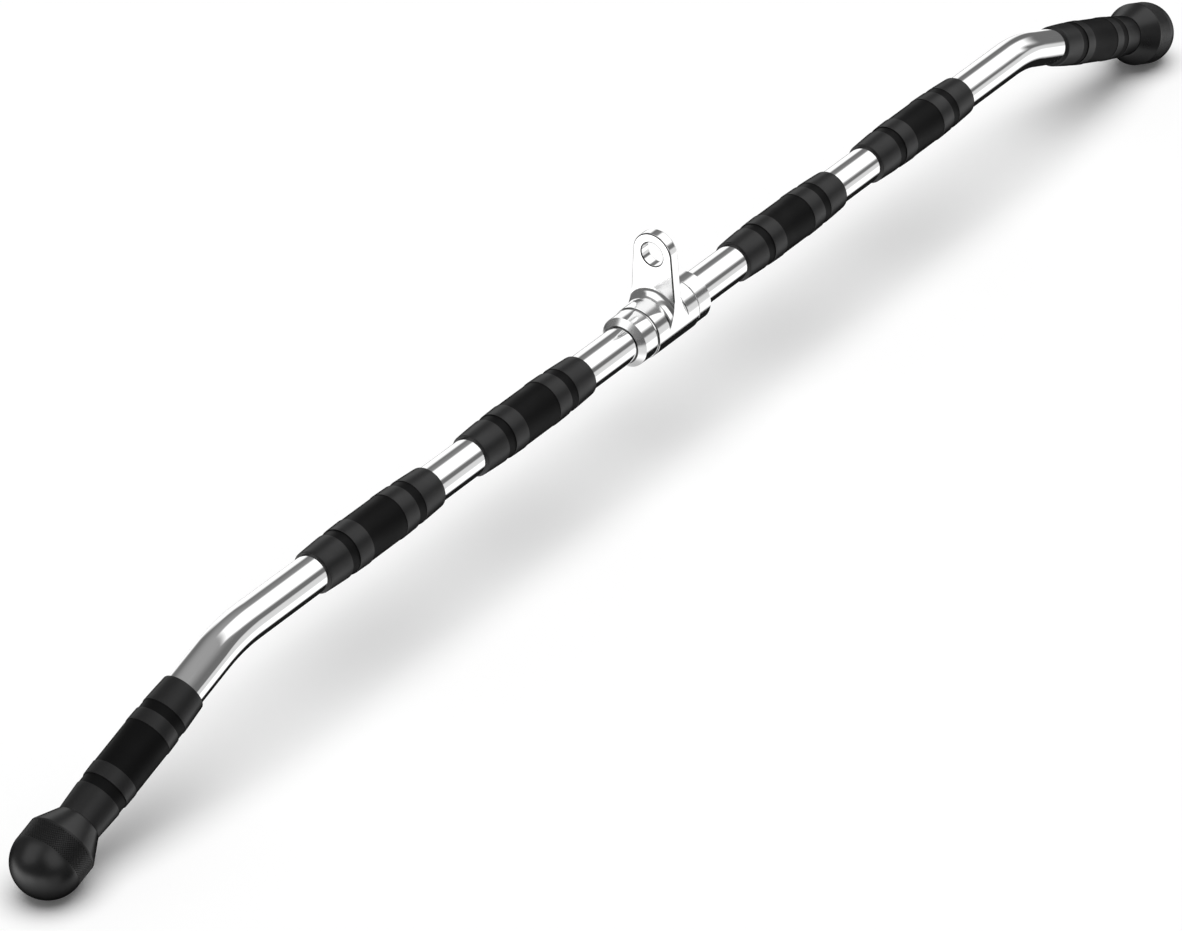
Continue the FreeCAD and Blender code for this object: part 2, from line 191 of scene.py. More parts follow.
WHITE = 1.3
LAMP_SLANT = [(0.07, [("right", 0.25, 0.45)]), (-0.12, [("right", 0.50, 0.85)])]
RIGHT_LAMP = [("right", 0.14, 0.29, 0.86, 0.96), ("up", 0.12, 0.28),
              ("slanted back", -0.64, -0.52), ("back", 0.27, 0.10)]
RIGHT_LAMP_CORNER = [("right", 0.78, 0.86), ("back", -0.22, -0.42)]
LEFT_LAMP = [("right", -0.95, -0.84, -0.28, -0.10), ("up", 0.14, 0.32),
             ("back", -0.08, 0.10, 0.63, 0.77)]
FRONT_LAMP = [("right", -0.68, -0.58, 0.01, 0.09), ("up", 0.14, 0.36), ("back", -0.24, -0.42)]
directions["slanted back"] = moved(directions["back"], LAMP_SLANT)
right_lamp = patch(RIGHT_LAMP) * (1.0 - patch(RIGHT_LAMP_CORNER))
left_lamps = start.math("MAXIMUM", patch(LEFT_LAMP), patch(FRONT_LAMP))
surroundings = mix(surroundings, WHITE, right_lamp)
surroundings = mix(surroundings, WHITE, left_lamps)

FLOOR_GREY = 0.78
UNDER_GREY = 0.50
FAR_WHITE = 1.9
UNDER_BAR = [("up", -0.45, -0.65), ("right", -0.45, -0.25, 0.30, 0.50)]
NEARER = [(-0.17, [("right", 0.60, 0.78)]), (0.15, [("right", 0.84, 0.94)])]
NEAR_FLOOR = [("near", -0.27, -0.37), ("right", 0.35, 0.50)]
LEFT_FLOOR = [("right", -0.12, -0.30), ("back", -0.64, -0.44)]
FAR_LEFT_FLOOR = [*LEFT_FLOOR, ("back", -0.10, 0.15), ("up", -0.75, -0.50)]
HORIZON = -0.22
HORIZON_MOVES = [
    (0.34, [("right", 0.30, 0.50)]),
    (-0.25, [("right", 0.82, 0.92), ("back", 0.0, 0.3)]),
    (-0.12, [("right", 0.84, 0.93), ("back", 0.05, -0.15)]),
]
HORIZON_SOFTNESS = 0.06
directions["near"] = moved(directions["up"], NEARER)
ground = mix(FLOOR_GREY, UNDER_GREY, patch(UNDER_BAR))
ground = mix(ground, WHITE, patch(NEAR_FLOOR))
ground = mix(ground, WHITE, patch(LEFT_FLOOR))
ground = mix(ground, FAR_WHITE, patch(FAR_LEFT_FLOOR))
over_horizon = directions["up"] - moved(HORIZON, HORIZON_MOVES)
surroundings = mix(surroundings, ground, over_horizon.step(HORIZON_SOFTNESS, -HORIZON_SOFTNESS))

SCREEN_WHITE = 1.17
DARK_CARD = 0.05
BLACK_CARD = 0.012
SCREEN = [("back", 0.49, 0.62), ("right", 0.34, 0.50), ("up", -0.60, -0.48, 0.30, 0.50)]
BACK_CARD = [("back", 0.78, 0.86), ("right", -0.10, 0.0, 0.32, 0.40), ("up", -0.12, -0.22)]
FRONT_CARD = [("back", -0.70, -0.80), ("right", -0.30, -0.20, 0.42, 0.50),
              ("up", -0.14, -0.24)]
UNDER_CARD = [("right", 0.52, 0.60, 0.88, 0.97), ("back", -0.44, -0.28, 0.56, 0.66),
              ("up", -0.38, -0.48)]
BEHIND_CARD = [("right", 0.50, 0.60, 0.76, 0.86), ("back", 0.48, 0.54, 0.64, 0.70),
               ("up", -0.20, -0.34)]
end_cards = start.math("MAXIMUM", patch(BACK_CARD), patch(FRONT_CARD))
surroundings = mix(surroundings, SCREEN_WHITE, patch(SCREEN))
surroundings = mix(surroundings, DARK_CARD, end_cards)
surroundings = mix(surroundings, BLACK_CARD, patch(UNDER_CARD))
surroundings = mix(surroundings, DARK_CARD, patch(BEHIND_CARD))

rays = start.node("ShaderNodeLightPath")
mirrored = start.math("MAXIMUM", rays.sibling("Is Glossy Ray"),
                      rays.sibling("Is Transmission Ray"))
level = mix(AMBIENT, surroundings, mirrored)
level = mix(level, BACKDROP, rays.sibling("Is Camera Ray"))
background = start.node("ShaderNodeBackground", None, {"Color": level})
start.node("ShaderNodeOutputWorld", None, {"Surface": background})

SUN_STRENGTH = 2.45
SUN_SOFTNESS = math.radians(64.0)
SUN_PLACE = (0.0, -0.07, 1.0)
sun_data = bpy.data.lights.new("soft_sun", "SUN")
sun_data.energy = SUN_STRENGTH
sun_data.angle = SUN_SOFTNESS
sun = bpy.data.objects.new("soft_sun", sun_data)
sun.rotation_euler = Vector(SUN_PLACE).to_track_quat("Z", "Y").to_euler()
sun.visible_glossy = False
scene.collection.objects.link(sun)

MM = 0.001
FLOOR_REACH = 12.0
FLOOR_GAP = 0.2 * MM
FLOOR_GLOW = 0.05
FLOOR_WHITE = (0.95, 0.95, 0.95, 1.0)
floor_height = cad_box[0].z - FLOOR_GAP


def flat_square(name, middle, reach, height, material):
    """A level square of the stage, round a place on the X axis."""
    corners = [(-1, -1), (1, -1), (1, 1), (-1, 1)]
    mesh = bpy.data.meshes.new(name)
    mesh.from_pydata([(middle + x * reach, y * reach, height) for x, y in corners],
                     [], [(0, 1, 2, 3)])
    mesh.materials.append(material)
    square = bpy.data.objects.new(name, mesh)
    scene.collection.objects.link(square)
    return square


floor_material, paint = new_material("pale_floor")
show(paint.node("ShaderNodeBsdfPrincipled", None, {
    "Base Color": FLOOR_WHITE,
    "Roughness": 1.0,
    "Specular IOR Level": 0.0,
    "Emission Color": paint.node("ShaderNodeLightPath", output="Is Camera Ray"),
    "Emission Strength": FLOOR_GLOW,
}))
floor = flat_square("floor", 0.0, FLOOR_REACH, floor_height, floor_material)
floor.visible_glossy = False
floor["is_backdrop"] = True


# Bar. One steel tube, drawn straight and then bent down at both ends over the same former,
# polished and chromed. Its ends are open and take the plugs that hold the knobs.
BAR_RADIUS = 12.7 * MM
BAR_WALL = 3.0 * MM
STRAIGHT_HALF = 425.8 * MM
BEND_RADIUS = 100.0 * MM
BEND_ANGLE = math.radians(19.6)
LEG_LENGTH = 162.0 * MM
BAR_AXIS = -50.0 * MM
BEND_SIDES = 24
BAR_SIDES = 160
SHARP_ANGLE = math.radians(38.0)


def tree_of(name, sizes):
    """An empty Geometry Nodes tree with an input for each size; gives it and its first wire."""
    tree = bpy.data.node_groups.new(name, "GeometryNodeTree")
    tree.interface.new_socket("Geometry", in_out="INPUT", socket_type="NodeSocketGeometry")
    for label, value in sizes.items():
        kind = "NodeSocketInt" if isinstance(value, int) else "NodeSocketFloat"
        made = tree.interface.new_socket(label, in_out="INPUT", socket_type=kind)
        made.default_value = value
    tree.interface.new_socket("Geometry", in_out="OUTPUT", socket_type="NodeSocketGeometry")
    return tree, Wire(tree).node("NodeGroupInput")


def finish_tree(last, material):
    """End a tree: instances made real, smooth shading and the piece's material."""
    real = last.node("GeometryNodeRealizeInstances", None, {0: last})
    smooth = real.node("GeometryNodeSetShadeSmooth", None, {"Geometry": real})
    painted = smooth.node("GeometryNodeSetMaterial", None,
                          {"Geometry": smooth, "Material": material})
    painted.node("NodeGroupOutput", None, {0: painted})


def link_piece(name, mesh):
    """A new object for a mesh whose place is already in its vertices."""
    piece = bpy.data.objects.new(name, mesh)
    scene.collection.objects.link(piece)
    return piece


def make_plain(piece):
    """Keep what the modifiers make of a piece as its plain mesh, and take them off."""
    seen = piece.evaluated_get(bpy.context.evaluated_depsgraph_get())
    result = bpy.data.meshes.new_from_object(seen)
    piece.modifiers.clear()
    piece.data = result


def run_tree(piece, tree, sizes):
    """Run a tree on a piece and keep the result."""
    modifier = piece.modifiers.new(tree.name, "NODES")
    modifier.node_group = tree
    for item in tree.interface.items_tree:
        if item.in_out == "INPUT" and item.name in sizes:
            modifier[item.identifier] = sizes[item.name]
    make_plain(piece)


def crisp(mesh):
    """Shade a mesh smooth and keep its sharp edges."""
    mesh.polygons.foreach_set("use_smooth", [True] * len(mesh.polygons))
    mesh.set_sharp_from_angle(angle=SHARP_ANGLE)
    mesh.update()


CHROME_GREY = (0.865, 0.865, 0.865)
# The dark grey of the thin lines of painted shade and painted dark reflection that a finish adds
# to chrome.
PAINTED_SHADE_GREY = (0.06, 0.06, 0.06)
PATCH_SCALE = 42.0
PATCH_STOPS = (0.35, 0.75)
PATCH_SHARE = 0.65
RIPPLE_HEIGHT = 0.02 * MM


def chrome(name, colour, smooth, hazy, stretch, ripple, finish=None):
    """Bright plated steel: faint hazy patches and fine polishing lines along one axis. A
    finish adds haze, and thin dark lines of painted shade and painted dark reflection, at places
    of its own."""
    material, wire = new_material(name)
    place = wire.node("ShaderNodeTexCoord", output="Object")
    patches = wire.node("ShaderNodeTexNoise", None, {
        "Vector": place, "Scale": PATCH_SCALE, "Detail": 3.0, "Roughness": 0.6})
    drawn = wire.node("ShaderNodeMapping", {"vector_type": "POINT"}, {
        "Vector": place, "Scale": stretch})
    lines = wire.node("ShaderNodeTexNoise", None, {
        "Vector": drawn, "Scale": 1.0, "Detail": 4.0, "Roughness": 0.7})
    worn = PATCH_SHARE * patches.step(*PATCH_STOPS) + (1.0 - PATCH_SHARE) * lines
    rough = smooth + (hazy - smooth) * worn
    bump = wire.node("ShaderNodeBump", None, {
        "Strength": ripple, "Distance": RIPPLE_HEIGHT, "Height": lines})
    plating = (*colour, 1.0)
    if finish:
        # The finish's lines mix a dark grey into the plating: painted shade and painted dark
        # reflection.
        haze, painted_shade_lines = finish(place)
        rough = rough + haze
        plating = wire.node("ShaderNodeMix", {"data_type": "RGBA"}, {
            0: painted_shade_lines, 6: plating, 7: (*PAINTED_SHADE_GREY, 1.0)}, output=2)
    show(wire.node("ShaderNodeBsdfPrincipled", None, {
        "Base Color": plating, "Metallic": 1.0, "Roughness": rough, "Normal": bump}))
    return material


chrome_tube = chrome("chrome_tube", colour=CHROME_GREY, smooth=0.045, hazy=0.085,
                     stretch=(14.0, 900.0, 900.0), ripple=0.15)

corner_x = STRAIGHT_HALF + BEND_RADIUS * math.tan(BEND_ANGLE / 2)
leg_x = STRAIGHT_HALF + BEND_RADIUS * math.sin(BEND_ANGLE)
leg_z = BAR_AXIS - BEND_RADIUS * (1 - math.cos(BEND_ANGLE))
end_x = leg_x + LEG_LENGTH * math.cos(BEND_ANGLE)
end_z = leg_z - LEG_LENGTH * math.sin(BEND_ANGLE)
line = bpy.data.meshes.new("bar_line")
line.from_pydata([(-end_x, 0, end_z), (-corner_x, 0, BAR_AXIS),
                  (corner_x, 0, BAR_AXIS), (end_x, 0, end_z)],
                 [(0, 1), (1, 2), (2, 3)], [])
bar = link_piece("chromed_bar", line)
tube_sizes = {"Bend Radius": BEND_RADIUS, "Bend Steps": BEND_SIDES,
              "Tube Radius": BAR_RADIUS, "Sides": BAR_SIDES}
tree, given = tree_of("bent_tube", tube_sizes)
path = given.node("GeometryNodeMeshToCurve", None, {"Mesh": given.sibling("Geometry")})
path = path.node("GeometryNodeFilletCurve", {"mode": "POLY"}, {
    "Curve": path, "Count": given.sibling("Bend Steps"), "Radius": given.sibling("Bend Radius")})
ring = path.node("GeometryNodeCurvePrimitiveCircle", None, {
    "Resolution": given.sibling("Sides"), "Radius": given.sibling("Tube Radius")})
swept = path.node("GeometryNodeCurveToMesh", None, {"Curve": path, "Profile Curve": ring})
finish_tree(swept, chrome_tube)
run_tree(bar, tree, tube_sizes)
tube_wall = bar.modifiers.new("wall", "SOLIDIFY")
tube_wall.thickness = BAR_WALL
tube_wall.offset = -1.0
make_plain(bar)
crisp(bar.data)
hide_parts("bar_tube")
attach(bar, "bar")


# Hanger. A sleeve, an upright plate with the eye, and a hollow gusset on each face, one
# forging that is ground, polished and chromed. It hangs from the machine's cable by the eye.
def stops(middle, *offsets):
    """The stops of a step, from their offsets in millimetres from a middle."""
    return [middle + offset * MM for offset in offsets]


EYE_RADIUS = 8.5 * MM
PLATE_HALF = 4.0 * MM
SLEEVE_TOP = BAR_AXIS + 18.4 * MM
FOOT_REACH = 10.2 * MM
EYE_RIM = stops(EYE_RADIUS, 0.85, 0.70)
PLATE_FACE = stops(PLATE_HALF, -0.10, -0.02, 0.10, 0.30)
PLATE_ROUND = stops(PLATE_HALF, -0.50, -0.38)
ROUND_TO_FACE = stops(PLATE_HALF, -0.005, -0.03)
FAR_SIDE = stops(0.0, 0.0, 2.0)
FAR_SIDE_EXTRA = 0.16 * MM
ABOVE_SLEEVE = stops(SLEEVE_TOP, -1.0, 0.5)
GUSSET_FOOT = stops(FOOT_REACH, -0.9, -0.5, 0.4, 0.8)
GUSSET_FOOT_HEIGHT = stops(BAR_AXIS, 3.0, 4.5, 10.0, 12.5)
FOOT_PAINTED_SHADE = 0.85
FACE_HAZE = 0.16


def hanger_haze_and_painted_shade(place):
    """The plate's flat faces are buffed less bright. The plate's rounded edges and the rim of
    the eye get a thin line of painted dark reflection, and the gussets' feet a line of painted
    shade. Gives the haze and the lines."""
    parts = place.node("ShaderNodeSeparateXYZ", None, {0: place})
    out = place.math("ABSOLUTE", parts)
    across = parts.sibling(1)
    height = parts.sibling(2)
    above = height.step(*ABOVE_SLEEVE)
    rim = place.math("SQRT", across * across + height * height).step(*EYE_RIM)
    rounded = out + FAR_SIDE_EXTRA * across.step(*FAR_SIDE)
    # Painted dark reflection along the plate's rounded edges and the eye's rim.
    edge = (rounded.step(*PLATE_ROUND)
            * place.math("MAXIMUM", out.step(*ROUND_TO_FACE), rim) * above)
    # Painted shade in the crease where each gusset meets the sleeve.
    foot = out.step(*GUSSET_FOOT) * height.step(*GUSSET_FOOT_HEIGHT) * FOOT_PAINTED_SHADE
    haze = out.step(*PLATE_FACE) * above * FACE_HAZE
    return haze, place.math("MAXIMUM", edge, foot)


chrome_hanger = chrome("chrome_hanger", colour=CHROME_GREY, smooth=0.05, hazy=0.11,
                       stretch=(260.0, 260.0, 40.0), ripple=0.25, finish=hanger_haze_and_painted_shade)
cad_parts["hanger"].material_slots[0].material = chrome_hanger


# Bushes and collars. A flanged bush is pressed into each end of the sleeve. A turned ring
# with one sloped face runs against its flange, held on the bar by a grub screw from below.
SLEEVE_HALF = 22.3 * MM
FLANGE_JOINT = stops(SLEEVE_HALF, 0.75, 0.55)
COLLAR_SLOPE = stops(36.2 * MM, -0.2, 0.3)
COLLAR_END = stops(40.2 * MM, -0.12, -0.04)
SLOPE_HAZE = 0.13


def collar_haze_and_painted_shade(place):
    """The sloped face keeps a faint haze from the lathe, and the narrow end face, where the
    bar runs out of the collar, a painted dark line of shade in the gap. Gives the haze and the
    line."""
    out = place.math("ABSOLUTE", place.node("ShaderNodeSeparateXYZ", None, {0: place}))
    # The line on the end face is painted shade.
    return out.step(*COLLAR_SLOPE) * SLOPE_HAZE, out.step(*COLLAR_END)


def flange_painted_shade(place):
    """A painted dark line of shade lies on the joint between flange and sleeve. Gives no haze
    and the line.
    """
    out = place.math("ABSOLUTE", place.node("ShaderNodeSeparateXYZ", None, {0: place}))
    # The joint line is painted shade.
    return 0.0, out.step(*FLANGE_JOINT)


chrome_collar = chrome("chrome_collar", colour=CHROME_GREY, smooth=0.06, hazy=0.14,
                       stretch=(2600.0, 30.0, 30.0), ripple=0.35, finish=collar_haze_and_painted_shade)
bush_metal = chrome("bush_metal", colour=(0.80, 0.80, 0.80), smooth=0.10, hazy=0.18,
                    stretch=(1800.0, 60.0, 60.0), ripple=0.3, finish=flange_painted_shade)
screw_steel = chrome("screw_steel", colour=(0.30, 0.30, 0.31), smooth=0.25, hazy=0.40,
                     stretch=(900.0, 900.0, 900.0), ripple=0.4)
for hand in ("left", "right"):
    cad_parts[f"{hand}_collar"].material_slots[0].material = chrome_collar
    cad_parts[f"{hand}_hanger_bush"].material_slots[0].material = bush_metal
    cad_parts[f"{hand}_collar_screw"].material_slots[0].material = screw_steel


# Grips. Six barrel-shaped rubber sleeves, pushed on over the chrome. Two narrow rings and
# a wide middle band are sunk in each and left matt; the bands between them have a satin skin.
GRIP_SIDES = 144
GRIP_END = 14.4 * MM
GRIP_MIDDLE = 16.2 * MM
RING_WIDTH = 7.0 * MM
MIDDLE_WIDTH = 33.4 * MM
SUNK = 0.5 * MM
EDGE_ROUND = 0.6 * MM
STEP_ROUND = 0.14 * MM
ARC_STEPS = 5
INNER_BOW_STEPS = 5
OUTER_BOW_STEPS = 8
LONGEST_ARC_SHARE = 0.49
TOUCHES_AXIS = 1e-7
SATIN, MATT = 0, 1


def soften(corners):
    """Round the corners (along, up, radius, finish) of an outline with short arcs."""
    points = []
    for index, (x, y, radius, finish) in enumerate(corners):
        if radius <= 0:
            points.append((x, y, finish))
            continue
        here = Vector((x, y))
        before = Vector(corners[index - 1][:2]) - here
        after = Vector(corners[(index + 1) % len(corners)][:2]) - here
        reach = min(radius / math.tan(before.angle(after) / 2),
                    before.length * LONGEST_ARC_SHARE, after.length * LONGEST_ARC_SHARE)
        first = here + before.normalized() * reach
        last = here + after.normalized() * reach
        for step in range(ARC_STEPS + 1):
            share = step / ARC_STEPS
            rest = 1 - share
            mixed = rest ** 2 * first + 2 * share * rest * here + share ** 2 * last
            points.append((mixed.x, mixed.y, finish))
    return points


def turn(name, outline, sides):
    """A mesh turned round X from a closed outline (station, radius, finish)."""
    mesh = bpy.data.meshes.new(name)
    build = bmesh.new()
    angles = [2 * math.pi * side / sides for side in range(sides)]
    rows = []
    for station, radius, finish in outline:
        if radius < TOUCHES_AXIS:
            rows.append([build.verts.new((station, 0.0, 0.0))])
        else:
            rows.append([build.verts.new((station, radius * math.cos(a), radius * math.sin(a)))
                         for a in angles])
    for index, row in enumerate(rows):
        following = rows[(index + 1) % len(rows)]
        if len(row) == 1 and len(following) == 1:
            continue
        for side in range(sides):
            nearby = (side + 1) % sides
            corners = [row[side % len(row)], row[nearby % len(row)],
                       following[nearby % len(following)], following[side % len(following)]]
            face = build.faces.new(list(dict.fromkeys(corners)))
            face.material_index = outline[index][2]
    bmesh.ops.recalc_face_normals(build, faces=build.faces)
    build.to_mesh(mesh)
    build.free()
    crisp(mesh)
    return mesh


RUBBER_BLACK = (0.005, 0.005, 0.0052)
WORN_SCALE = 60.0
WORN_STOPS = (0.42, 0.72)
WORN_TINT = 1.3
WORN_GLOSS = 0.06
GRAIN_ROUGHNESS = 0.05
GRAIN_STRENGTH = 0.35
EDGE_END = 0.95


def rubber(name, colour, roughness, gloss, edge_start, grain, depth):
    """Black rubber: a fine grain, faint worn patches where hands polish it, and no gloss
    where it turns away."""
    material, wire = new_material(name)
    place = wire.node("ShaderNodeTexCoord", output="Object")
    fine = wire.node("ShaderNodeTexNoise", None, {
        "Vector": place, "Scale": grain, "Detail": 3.0, "Roughness": 0.6})
    worn = wire.node("ShaderNodeTexNoise", None, {
        "Vector": place, "Scale": WORN_SCALE, "Detail": 2.0, "Roughness": 0.5})
    worn_share = worn.step(*WORN_STOPS)
    paler = [WORN_TINT * part for part in colour]
    tint = wire.node("ShaderNodeMix", {"data_type": "RGBA"}, {
        0: worn_share, 6: (*colour, 1.0), 7: (*paler, 1.0)}, output=2)
    bump = wire.node("ShaderNodeBump", None, {
        "Strength": GRAIN_STRENGTH, "Distance": depth, "Height": fine})
    skin = wire.node("ShaderNodeBsdfPrincipled", None, {
        "Base Color": tint,
        "Roughness": roughness - WORN_GLOSS * worn_share + GRAIN_ROUGHNESS * fine,
        "Specular IOR Level": gloss, "Normal": bump})
    shaded = wire.node("ShaderNodeBsdfPrincipled", None, {
        "Base Color": tint, "Roughness": 1.0, "Specular IOR Level": 0.0})
    edge = wire.node("ShaderNodeLayerWeight", None, {"Blend": 0.5}, output=1)
    show(wire.node("ShaderNodeMixShader", None, {
        0: edge.step(edge_start, EDGE_END), 1: skin, 2: shaded}))
    return material


grip_satin = rubber("grip_satin", colour=RUBBER_BLACK, roughness=0.40, gloss=0.415,
                    edge_start=0.45, grain=2600.0, depth=0.03 * MM)
grip_matt = rubber("grip_matt", colour=(0.0016, 0.0016, 0.0017), roughness=0.50, gloss=0.112,
                   edge_start=0.60, grain=1900.0, depth=0.04 * MM)


def grip_outline(length, end_band):
    """The section of a grip: the barrel with its sunk rings and band, then the bore."""
    half = length / 2
    swell = GRIP_MIDDLE - GRIP_END
    barrel = (half ** 2 + swell ** 2) / (2 * swell)

    def surface(station):
        return GRIP_MIDDLE - barrel + math.sqrt(barrel ** 2 - station ** 2)

    def bow(low, high, steps):
        stations = [low + (high - low) * step / steps for step in range(1, steps)]
        return [(station, surface(station), 0, SATIN) for station in stations]

    ring_out = half - end_band
    ring_in = ring_out - RING_WIDTH
    ring_floor = surface((ring_out + ring_in) / 2) - SUNK
    band = MIDDLE_WIDTH / 2
    return soften([
        (-half, BAR_RADIUS, 0, SATIN),
        (-half, GRIP_END, EDGE_ROUND, SATIN),
        *bow(-half, -ring_out, OUTER_BOW_STEPS),
        (-ring_out, surface(ring_out), STEP_ROUND, MATT),
        (-ring_out, ring_floor, STEP_ROUND, MATT),
        (-ring_in, ring_floor, STEP_ROUND, MATT),
        (-ring_in, surface(ring_in), STEP_ROUND, SATIN),
        *bow(-ring_in, -band, INNER_BOW_STEPS),
        (-band, surface(-band), STEP_ROUND, MATT),
        (-band, GRIP_MIDDLE - SUNK, STEP_ROUND, MATT),
        (band, GRIP_MIDDLE - SUNK, STEP_ROUND, MATT),
        (band, surface(band), STEP_ROUND, SATIN),
        *bow(band, ring_in, INNER_BOW_STEPS),
        (ring_in, surface(ring_in), STEP_ROUND, MATT),
        (ring_in, ring_floor, STEP_ROUND, MATT),
        (ring_out, ring_floor, STEP_ROUND, MATT),
        (ring_out, surface(ring_out), STEP_ROUND, SATIN),
        *bow(ring_out, half, OUTER_BOW_STEPS),
        (half, GRIP_END, EDGE_ROUND, SATIN),
        (half, BAR_RADIUS, 0, SATIN),
    ])


def on_leg(sign, station):
    """The place of a piece whose own X runs along a bent end, out towards the knob."""
    out = BEND_ANGLE if sign > 0 else math.pi - BEND_ANGLE
    centre = Vector((sign * (leg_x + station * math.cos(BEND_ANGLE)), 0.0,
                     leg_z - station * math.sin(BEND_ANGLE)))
    return Matrix.Translation(centre) @ Matrix.Rotation(out, 4, "Y")


KNOB_START = LEG_LENGTH - 25.0 * MM
STRAIGHT_GRIP = (115.4 * MM, 20.8 * MM)
END_GRIP = (106.8 * MM, 20.0 * MM)
GRIP_CENTRES = {"inner_grip": 145.0 * MM, "outer_grip": 304.9 * MM}
for hand, sign in (("left", -1), ("right", 1)):
    for kind in ("inner_grip", "outer_grip", "end_grip"):
        if kind in GRIP_CENTRES:
            length, end_band = STRAIGHT_GRIP
            place = Matrix.Translation((sign * GRIP_CENTRES[kind], 0.0, BAR_AXIS))
        else:
            length, end_band = END_GRIP
            place = on_leg(sign, KNOB_START - length / 2)
        mesh = turn(f"{hand}_{kind}", grip_outline(length, end_band), GRIP_SIDES)
        mesh.materials.append(grip_satin)
        mesh.materials.append(grip_matt)
        mesh.transform(place)
        grip = link_piece(f"{hand}_{kind}_rubber", mesh)
        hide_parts(f"{hand}_{kind}")
        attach(grip, "bar")


# Knobs. Hard rubber ends, moulded over the head of a stud that screws into the plug: a cone
# that meets the grip, a band with a fine diamond knurl for the fingers, and a round end.
KNOB_SIDES = 160
KNOB_MOUTH = 14.8 * MM
KNOB_RADIUS = 22.69 * MM
KNOB_CONE = 15.5 * MM
KNOB_BAND = 15.5 * MM
KNOB_DOME = 21.49 * MM
KNOB_BORE = 12.9 * MM
KNOB_SEAT = 27.2 * MM
MOUTH_ROUND = 0.4 * MM
SHOULDER_ROUND = 1.6 * MM
BORDER_ROUND = 0.1 * MM
DOME_STEPS = 36
STUD_RADIUS = 5.0 * MM
STUD_HEAD_RADIUS = 8.0 * MM
STUD_COVER = 2.0 * MM
STUD_HEAD = 6.0 * MM
KNURL_DEPTH = 0.22 * MM
KNURL_START = 1.5 * MM
KNURL_RIM = 1.0 * MM
KNURLS_ROUND = 88
KNURL_TOP = 0.35
KNURL_FOOT = 0.46
KNURL_RISE = 0.9
BLACK, VALLEY, TOP = 0, 1, 2
knob_black = rubber("knob_black", colour=RUBBER_BLACK, roughness=0.31, gloss=0.48,
                    edge_start=0.35, grain=2400.0, depth=0.03 * MM)
knurl_top = rubber("knurl_top", colour=RUBBER_BLACK, roughness=0.31, gloss=0.55,
                   edge_start=0.45, grain=2400.0, depth=0.03 * MM)
# The floor between the knurl's studs is painted darker than the knob's rubber as painted shade
# in the recesses, and it is kept matt.
knurl_valley = rubber("knurl_valley", colour=(0.0008, 0.0008, 0.0008), roughness=0.55,
                      gloss=0.05, edge_start=0.50, grain=2400.0, depth=0.03 * MM)

band_end = KNOB_CONE + KNOB_BAND
ball = (KNOB_RADIUS ** 2 + KNOB_DOME ** 2) / (2 * KNOB_DOME)
ball_centre = band_end + KNOB_DOME - ball
widest = math.asin(min(1.0, KNOB_RADIUS / ball))
leans = [widest * (1 - step / DOME_STEPS) for step in range(DOME_STEPS + 1)]
knurl_low = KNOB_CONE + KNURL_START
knurl_high = band_end - KNURL_RIM
head_start = KNOB_SEAT + STUD_COVER
head_end = head_start + STUD_HEAD
knob_outline = soften([
    (0.0, KNOB_BORE, 0, BLACK),
    (0.0, KNOB_MOUTH, MOUTH_ROUND, BLACK),
    (KNOB_CONE, KNOB_RADIUS, SHOULDER_ROUND, BLACK),
    (knurl_low, KNOB_RADIUS, BORDER_ROUND, BLACK),
    (knurl_low, KNOB_RADIUS - KNURL_DEPTH, 0, VALLEY),
    (knurl_high, KNOB_RADIUS - KNURL_DEPTH, 0, BLACK),
    (knurl_high, KNOB_RADIUS, BORDER_ROUND, BLACK),
    *[(ball_centre + ball * math.cos(lean), ball * math.sin(lean), 0, BLACK) for lean in leans],
    (head_end, 0.0, 0, BLACK),
    (head_end, STUD_HEAD_RADIUS, 0, BLACK),
    (head_start, STUD_HEAD_RADIUS, 0, BLACK),
    (head_start, STUD_RADIUS, 0, BLACK),
    (KNOB_SEAT, STUD_RADIUS, 0, BLACK),
    (KNOB_SEAT, KNOB_BORE, 0, BLACK),
])

knurl_sizes = {"Radius": KNOB_RADIUS, "Depth": KNURL_DEPTH, "Low": knurl_low,
               "High": knurl_high, "Round": KNURLS_ROUND}
tree, given = tree_of("diamond_knurl", knurl_sizes)
radius, depth, low, high, around = [given.sibling(label) for label in knurl_sizes]
pitch = (2 * math.pi) * radius / around
rows = given.math("FLOOR", (high - low) / pitch * 2.0)
points = given.node("GeometryNodePoints", None, {"Count": rows * around})
index = given.node("GeometryNodeInputIndex")
row = given.math("FLOOR", (index + 0.5) / around)
odd = given.math("MODULO", row, 2.0)
angle = (index + odd * 0.5) * (2 * math.pi) / around
base = radius - depth
station = (low + high) * 0.5 + (row - (rows - 1.0) * 0.5) * (pitch * 0.5)
spot = given.node("ShaderNodeCombineXYZ", None, {
    0: station, 1: base * given.math("SINE", angle), 2: base * given.math("COSINE", angle)})
placed = given.node("GeometryNodeSetPosition", None, {"Geometry": points, "Position": spot})
stud = given.node("GeometryNodeMeshCone", {"fill_type": "NGON"}, {
    "Vertices": 4, "Side Segments": 1, "Radius Top": pitch * KNURL_TOP,
    "Radius Bottom": pitch * KNURL_FOOT, "Depth": depth * KNURL_RISE})
tilt = given.node("ShaderNodeCombineXYZ", None, {0: 0.0 - angle})
knurls = given.node("GeometryNodeInstanceOnPoints", None, {
    "Points": placed, "Instance": stud, "Rotation": tilt})
finish_tree(knurls, knurl_top)

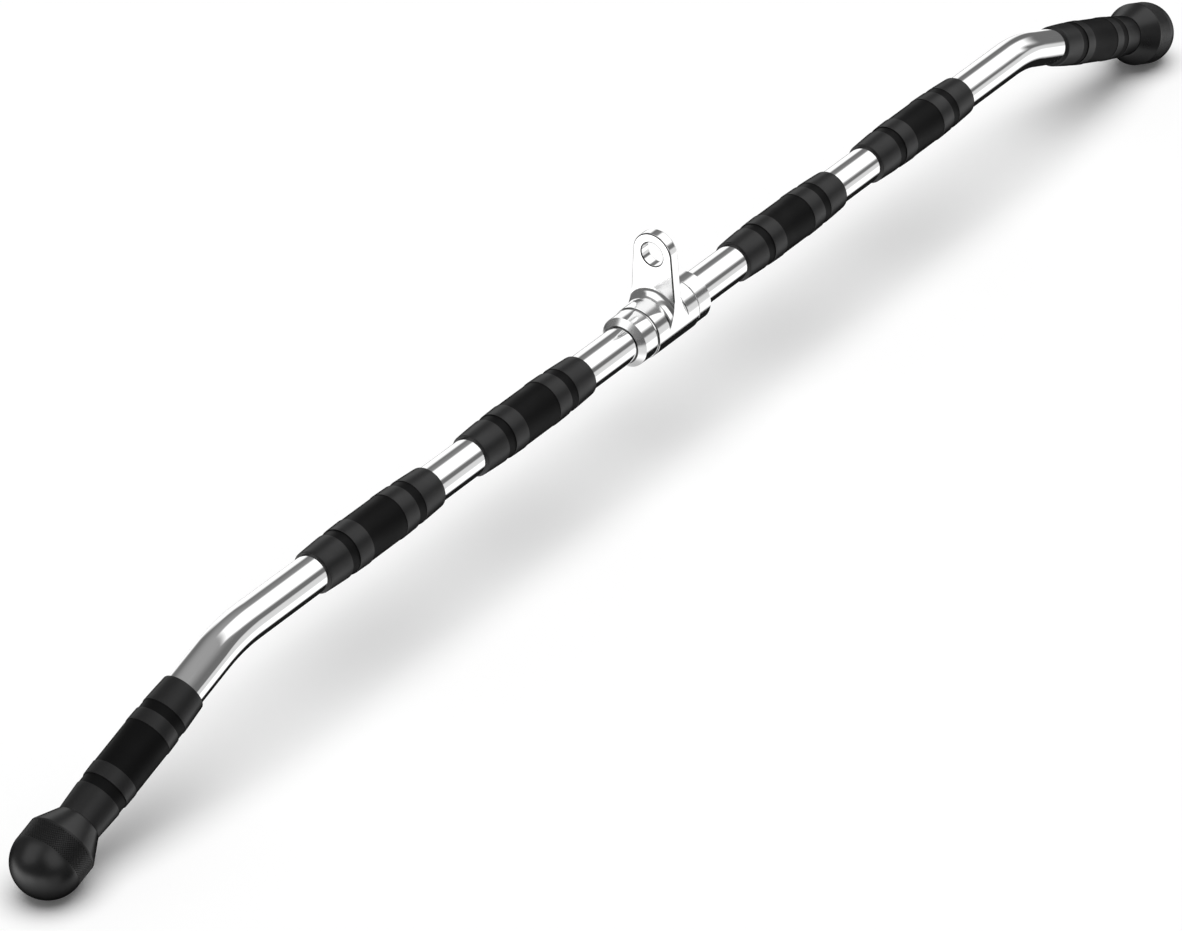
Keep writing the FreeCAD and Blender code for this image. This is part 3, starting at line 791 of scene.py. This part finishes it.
for hand, sign in (("left", -1), ("right", 1)):
    plain = turn(f"{hand}_knob", knob_outline, KNOB_SIDES)
    for material in (knob_black, knurl_valley, knurl_top):
        plain.materials.append(material)
    knurled = link_piece(f"{hand}_knurl", bpy.data.meshes.new(f"{hand}_knurl"))
    run_tree(knurled, tree, knurl_sizes)
    faces = knurled.data.polygons
    faces.foreach_set("use_smooth", [False] * len(faces))
    faces.foreach_set("material_index", [TOP] * len(faces))
    both = bmesh.new()
    both.from_mesh(plain)
    both.from_mesh(knurled.data)
    both.to_mesh(plain)
    both.free()
    bpy.data.objects.remove(knurled)
    plain.transform(on_leg(sign, KNOB_START))
    knob = link_piece(f"{hand}_end_knob_rubber", plain)
    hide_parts(f"{hand}_end_knob")
    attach(knob, "bar")


# Contact shade. The floor close under each knob lies in its shadow, so the knob's own
# underside mirrors a dark patch there: a soft-edged disc that only mirrored rays see.
SHADE_REACH = 75.0 * MM
SHADE_HEIGHT = 0.1 * MM
SHADE_MARGIN = 1.1
SHADE_STOPS = (SHADE_REACH, 0.35 * SHADE_REACH)
CONE_SHARE = 0.8
DARKEST = 0.04
PALING = 0.50
PALING_STOPS = (0.2 * SHADE_REACH, 0.65 * SHADE_REACH)
shade_material, wire = new_material("contact_shade")
spot = wire.node("ShaderNodeSeparateXYZ", None, {
    0: wire.node("ShaderNodeTexCoord", output="Object")})
knob_station = KNOB_START + CONE_SHARE * KNOB_CONE + KNOB_BAND
knob_x = leg_x + knob_station * math.cos(BEND_ANGLE)
away_x = wire.math("ABSOLUTE", spot) - knob_x
away_y = spot.sibling(1)
away = wire.math("SQRT", away_x * away_x + away_y * away_y)
clear = wire.node("ShaderNodeBsdfTransparent")
dark = wire.node("ShaderNodeEmission", None, {
    "Color": DARKEST + PALING * away.step(*PALING_STOPS), "Strength": 1.0})
show(wire.node("ShaderNodeMixShader", None, {0: away.step(*SHADE_STOPS), 1: clear, 2: dark}))
for sign in (-1, 1):
    shade = flat_square("contact_shade", sign * knob_x, SHADE_MARGIN * SHADE_REACH,
                        floor_height + SHADE_HEIGHT, shade_material)
    shade.visible_camera = False
    shade.visible_diffuse = False
    shade.visible_shadow = False
    shade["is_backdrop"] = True


# Studs and end plugs. Plain steel parts inside each knob: the plug is pressed into the end
# of the tube and takes the knob's threaded stud.
plain_steel = chrome("plain_steel", colour=(0.56, 0.57, 0.58), smooth=0.22, hazy=0.36,
                     stretch=(500.0, 500.0, 500.0), ripple=0.3)
for hand in ("left", "right"):
    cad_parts[f"{hand}_knob_stud"].material_slots[0].material = plain_steel
    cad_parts[f"{hand}_end_plug"].material_slots[0].material = plain_steel


low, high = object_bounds()
